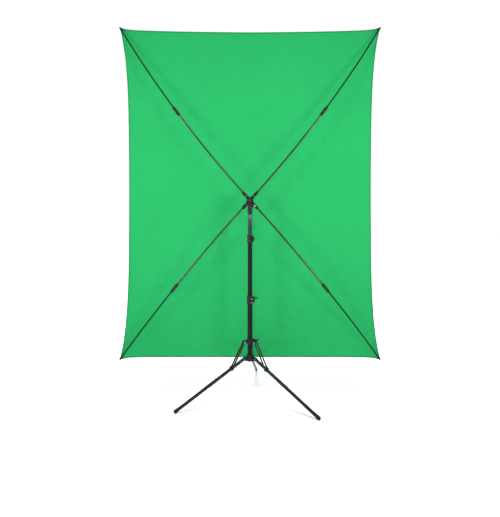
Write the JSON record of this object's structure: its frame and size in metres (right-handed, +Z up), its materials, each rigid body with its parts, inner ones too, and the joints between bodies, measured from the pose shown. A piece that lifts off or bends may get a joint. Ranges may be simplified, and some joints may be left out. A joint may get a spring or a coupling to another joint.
{
  "type": "backdrop support system",
  "caption": "Rectangular cloth backdrop stretched on four flexible telescopic arms, held by a cross hub on a telescopic light stand with a folding tripod.",
  "frame": {"origin": "on the floor, under the middle of the bounding box", "axes": "+Z up, the cloth faces -Y, +X to the right when looking along +Y"},
  "size_m": [1.594, 0.7176, 2.213],
  "materials": {
    "tube_black": "satin",
    "leg_black": "satin",
    "arm_tube_black": "satin",
    "rod_black": "satin",
    "plastic_black": "matte",
    "knob_black": "satin",
    "rubber_black": "matte",
    "bright_metal": "satin",
    "cloth_green": "matte"
  },
  "bodies": {
    "stand_base": {"base_hub": "plastic_black", "lower_tube": "tube_black", "lower_clamp": "plastic_black", "leg_pin_1": "bright_metal", "leg_pin_2": "bright_metal", "leg_pin_3": "bright_metal"},
    "mid_section": {"mid_tube": "tube_black", "upper_clamp": "plastic_black"},
    "top_section": {"top_tube": "tube_black", "stud": "tube_black"},
    "spreader": {"spreader_collar": "plastic_black"},
    "leg_1": {"leg_tube_1": "leg_black", "leg_knuckle_1": "plastic_black", "leg_clip_1": "plastic_black", "foot_cap_1": "rubber_black"},
    "leg_2": {"leg_tube_2": "leg_black", "leg_knuckle_2": "plastic_black", "leg_clip_2": "plastic_black", "foot_cap_2": "rubber_black"},
    "leg_3": {"leg_tube_3": "leg_black", "leg_knuckle_3": "plastic_black", "leg_clip_3": "plastic_black", "foot_cap_3": "rubber_black"},
    "brace_1": {"strut_1_left": "leg_black", "strut_1_right": "leg_black"},
    "brace_2": {"strut_2_left": "leg_black", "strut_2_right": "leg_black"},
    "brace_3": {"strut_3_left": "leg_black", "strut_3_right": "leg_black"},
    "x_frame": {"cross_hub": "plastic_black", "hub_sleeve": "plastic_black", "centre_bolt": "bright_metal", "arm_socket_1": "plastic_black", "arm_socket_2": "plastic_black", "arm_socket_3": "plastic_black", "arm_socket_4": "plastic_black", "inner_tube_1": "arm_tube_black", "inner_tube_2": "arm_tube_black", "inner_tube_3": "arm_tube_black", "inner_tube_4": "arm_tube_black", "backdrop": "cloth_green"},
    "lock_1": {"lock_collar_1": "plastic_black"},
    "lock_2": {"lock_collar_2": "plastic_black"},
    "lock_3": {"lock_collar_3": "plastic_black"},
    "lock_4": {"lock_collar_4": "plastic_black"},
    "arm_rod_1": {"outer_rod_1": "rod_black", "rod_tip_1": "plastic_black"},
    "arm_rod_2": {"outer_rod_2": "rod_black", "rod_tip_2": "plastic_black"},
    "arm_rod_3": {"outer_rod_3": "rod_black", "rod_tip_3": "plastic_black"},
    "arm_rod_4": {"outer_rod_4": "rod_black", "rod_tip_4": "plastic_black"},
    "spreader_knob_body": {"spreader_knob": "knob_black"},
    "lower_knob_body": {"lower_knob": "knob_black"},
    "upper_knob_body": {"upper_knob": "knob_black"},
    "hub_knob_body": {"hub_knob": "knob_black"}
  },
  "joints": [
    {"name": "leg_1_fold", "type": "hinge", "parent": "stand_base", "child": "leg_1", "pos_m": [-0.03252, 0.11358, 0.234], "axis": [-0.5821, -0.8131, 0], "range_deg": [0, 45]},
    {"name": "leg_2_fold", "type": "hinge", "parent": "stand_base", "child": "leg_2", "pos_m": [-0.0039, 0.05049, 0.234], "axis": [0.9952, -0.0976, 0], "range_deg": [0, 45]},
    {"name": "leg_3_fold", "type": "hinge", "parent": "stand_base", "child": "leg_3", "pos_m": [0.03643, 0.10682, 0.234], "axis": [-0.4131, 0.9107, 0], "range_deg": [0, 45]},
    {"name": "spreader_slide", "type": "slide", "parent": "stand_base", "child": "spreader", "axis": [0, 0, -1], "range_m": [0, 0.02293]},
    {"name": "brace_1_swing", "type": "hinge", "parent": "spreader", "child": "brace_1", "pos_m": [-0.0309, 0.11242, 0.33313], "axis": [-0.5821, -0.8131, 0], "range_deg": [0, 19.42]},
    {"name": "brace_2_swing", "type": "hinge", "parent": "spreader", "child": "brace_2", "pos_m": [-0.00371, 0.05248, 0.33313], "axis": [0.9952, -0.0976, 0], "range_deg": [0, 19.42]},
    {"name": "brace_3_swing", "type": "hinge", "parent": "spreader", "child": "brace_3", "pos_m": [0.03461, 0.106, 0.33313], "axis": [-0.4131, 0.9107, 0], "range_deg": [0, 19.42]},
    {"name": "mid_slide", "type": "slide", "parent": "stand_base", "child": "mid_section", "axis": [0, 0, 1], "range_m": [0, 0.065]},
    {"name": "top_slide", "type": "slide", "parent": "mid_section", "child": "top_section", "axis": [0, 0, 1], "range_m": [0, 0.2]},
    {"name": "hub_swivel", "type": "hinge", "parent": "top_section", "child": "x_frame", "pos_m": [0, 0.0903, 1.12], "axis": [0, 0, 1], "continuous": true},
    {"name": "spreader_knob_turn", "type": "hinge", "parent": "spreader", "child": "spreader_knob_body", "pos_m": [-0.0156, 0.0903, 0.33813], "axis": [-1, 0, 0], "range_deg": [0, 270]},
    {"name": "lower_knob_turn", "type": "hinge", "parent": "stand_base", "child": "lower_knob_body", "pos_m": [-0.0141, 0.0903, 0.584], "axis": [-1, 0, 0], "range_deg": [0, 270]},
    {"name": "upper_knob_turn", "type": "hinge", "parent": "mid_section", "child": "upper_knob_body", "pos_m": [-0.00843, 0.09966, 0.929], "axis": [-0.6691, 0.7431, 0], "range_deg": [0, 270]},
    {"name": "hub_knob_turn", "type": "hinge", "parent": "x_frame", "child": "hub_knob_body", "pos_m": [-0.009, 0.0903, 1.118], "axis": [-1, 0, 0], "range_deg": [0, 270]},
    {"name": "lock_1_twist", "type": "hinge", "parent": "x_frame", "child": "lock_1", "pos_m": [0.4393, 0.03575, 1.68389], "axis": [0.5961, -0.0739, 0.7995], "range_deg": [0, 90]},
    {"name": "lock_2_twist", "type": "hinge", "parent": "x_frame", "child": "lock_2", "pos_m": [-0.4393, 0.03575, 1.68389], "axis": [-0.5961, -0.0739, 0.7995], "range_deg": [0, 90]},
    {"name": "lock_3_twist", "type": "hinge", "parent": "x_frame", "child": "lock_3", "pos_m": [-0.44987, 0.03289, 0.63099], "axis": [-0.6272, -0.0823, -0.7745], "range_deg": [0, 90]},
    {"name": "lock_4_twist", "type": "hinge", "parent": "x_frame", "child": "lock_4", "pos_m": [0.44987, 0.03289, 0.63099], "axis": [0.6272, -0.0823, -0.7745], "range_deg": [0, 90]},
    {"name": "rod_1_telescope", "type": "hinge", "parent": "x_frame", "child": "arm_rod_1", "pos_m": [-3.27373, -3.20029, 4.15283], "axis": [-0.4365, 0.8059, 0.3999], "range_deg": [0, 2.6]},
    {"name": "rod_2_telescope", "type": "hinge", "parent": "x_frame", "child": "arm_rod_2", "pos_m": [3.27373, -3.20029, 4.15283], "axis": [-0.4365, -0.8059, -0.3999], "range_deg": [0, 2.6]},
    {"name": "rod_3_telescope", "type": "hinge", "parent": "x_frame", "child": "arm_rod_3", "pos_m": [2.95022, -5.3552, -1.55038], "axis": [0.593, 0.5942, -0.5434], "range_deg": [0, 2.13]},
    {"name": "rod_4_telescope", "type": "hinge", "parent": "x_frame", "child": "arm_rod_4", "pos_m": [-2.95022, -5.3552, -1.55038], "axis": [0.593, -0.5942, 0.5434], "range_deg": [0, 2.13]}
  ],
  "couplings": [
    {"joint": "leg_2_fold", "follows": "leg_1_fold", "ratio": 1},
    {"joint": "leg_3_fold", "follows": "leg_1_fold", "ratio": 1},
    {"joint": "spreader_slide", "follows": "leg_1_fold", "m_per_rad": 0.029188},
    {"joint": "brace_1_swing", "follows": "leg_1_fold", "ratio": 0.43153},
    {"joint": "brace_2_swing", "follows": "leg_1_fold", "ratio": 0.43153},
    {"joint": "brace_3_swing", "follows": "leg_1_fold", "ratio": 0.43153}
  ]
}
